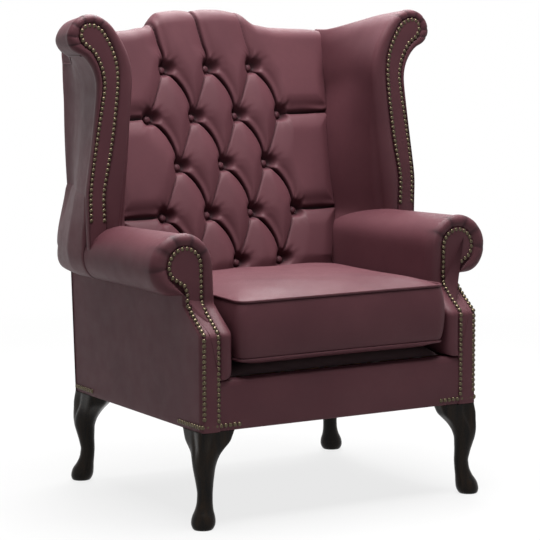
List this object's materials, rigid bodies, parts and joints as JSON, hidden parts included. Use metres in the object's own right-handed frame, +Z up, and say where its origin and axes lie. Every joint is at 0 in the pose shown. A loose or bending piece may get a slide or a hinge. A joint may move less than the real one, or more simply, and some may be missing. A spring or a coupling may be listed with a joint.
{
  "type": "wing chair",
  "caption": "High-backed leather wing chair with a deep-buttoned back, camel-back crest, scroll arms, stud rows, a loose seat cushion and four cabriole legs.",
  "frame": {"origin": "centre of the footprint on the floor, under the middle of the overall box", "axes": "+Z up, the chair faces -Y, +X is the right-hand side seen from the front"},
  "size_m": [0.936, 0.7056, 1.069],
  "materials": {
    "leather": "satin",
    "leather_welt": "satin",
    "mahogany": "gloss",
    "beech": "matte",
    "studs": "antique",
    "steel": "satin",
    "hessian": "matte",
    "dust_cloth": "matte",
    "deck_cloth": "matte",
    "foam": "matte",
    "zip_tape": "matte",
    "zip_brass": "satin"
  },
  "bodies": {
    "chair": {"back_buttons": "leather", "back_hessian": "hessian", "back_rail": "beech", "back_webbing": "hessian", "button_ties": "hessian", "corner_blocks": "beech", "corner_studs": "studs", "crest_rail": "beech", "dust_cover": "dust_cloth", "front_border": "leather", "front_left_leg": "mahogany", "front_rail": "beech", "front_right_leg": "mahogany", "inside_back": "leather", "left_arm_board": "beech", "left_arm_facing": "leather", "left_arm_pad": "leather", "left_arm_post": "beech", "left_arm_rail": "beech", "left_arm_studs": "studs", "left_back_post": "beech", "left_inside_wing": "leather", "left_outside_arm": "leather", "left_outside_wing": "leather", "left_seat_rail": "beech", "left_tack_rail": "beech", "left_wing_board": "beech", "left_wing_facing": "leather", "left_wing_rail": "beech", "left_wing_studs": "studs", "leg_bolts": "steel", "lower_back_rail": "beech", "outside_back": "leather", "rear_left_leg": "mahogany", "rear_right_leg": "mahogany", "right_arm_board": "beech", "right_arm_facing": "leather", "right_arm_pad": "leather", "right_arm_post": "beech", "right_arm_rail": "beech", "right_arm_studs": "studs", "right_back_post": "beech", "right_inside_wing": "leather", "right_outside_arm": "leather", "right_outside_wing": "leather", "right_seat_rail": "beech", "right_tack_rail": "beech", "right_wing_board": "beech", "right_wing_facing": "leather", "right_wing_rail": "beech", "right_wing_studs": "studs", "seat_deck": "deck_cloth", "seat_hessian": "hessian", "seat_springs": "steel", "spring_clips": "steel"},
    "seat_cushion": {"cushion_cover": "leather", "cushion_core": "foam", "cushion_piping": "leather_welt", "zip_tape": "zip_tape"},
    "zip_pull": {"zip_slider": "zip_brass"}
  },
  "joints": [
    {"name": "cushion_lift_out", "type": "slide", "parent": "chair", "child": "seat_cushion", "axis": [0, -0.9272, 0.3746], "range_m": [0, 0.6]},
    {"name": "zip_slide", "type": "slide", "parent": "seat_cushion", "child": "zip_pull", "axis": [1, 0, 0], "range_m": [0, 0.38]}
  ]
}
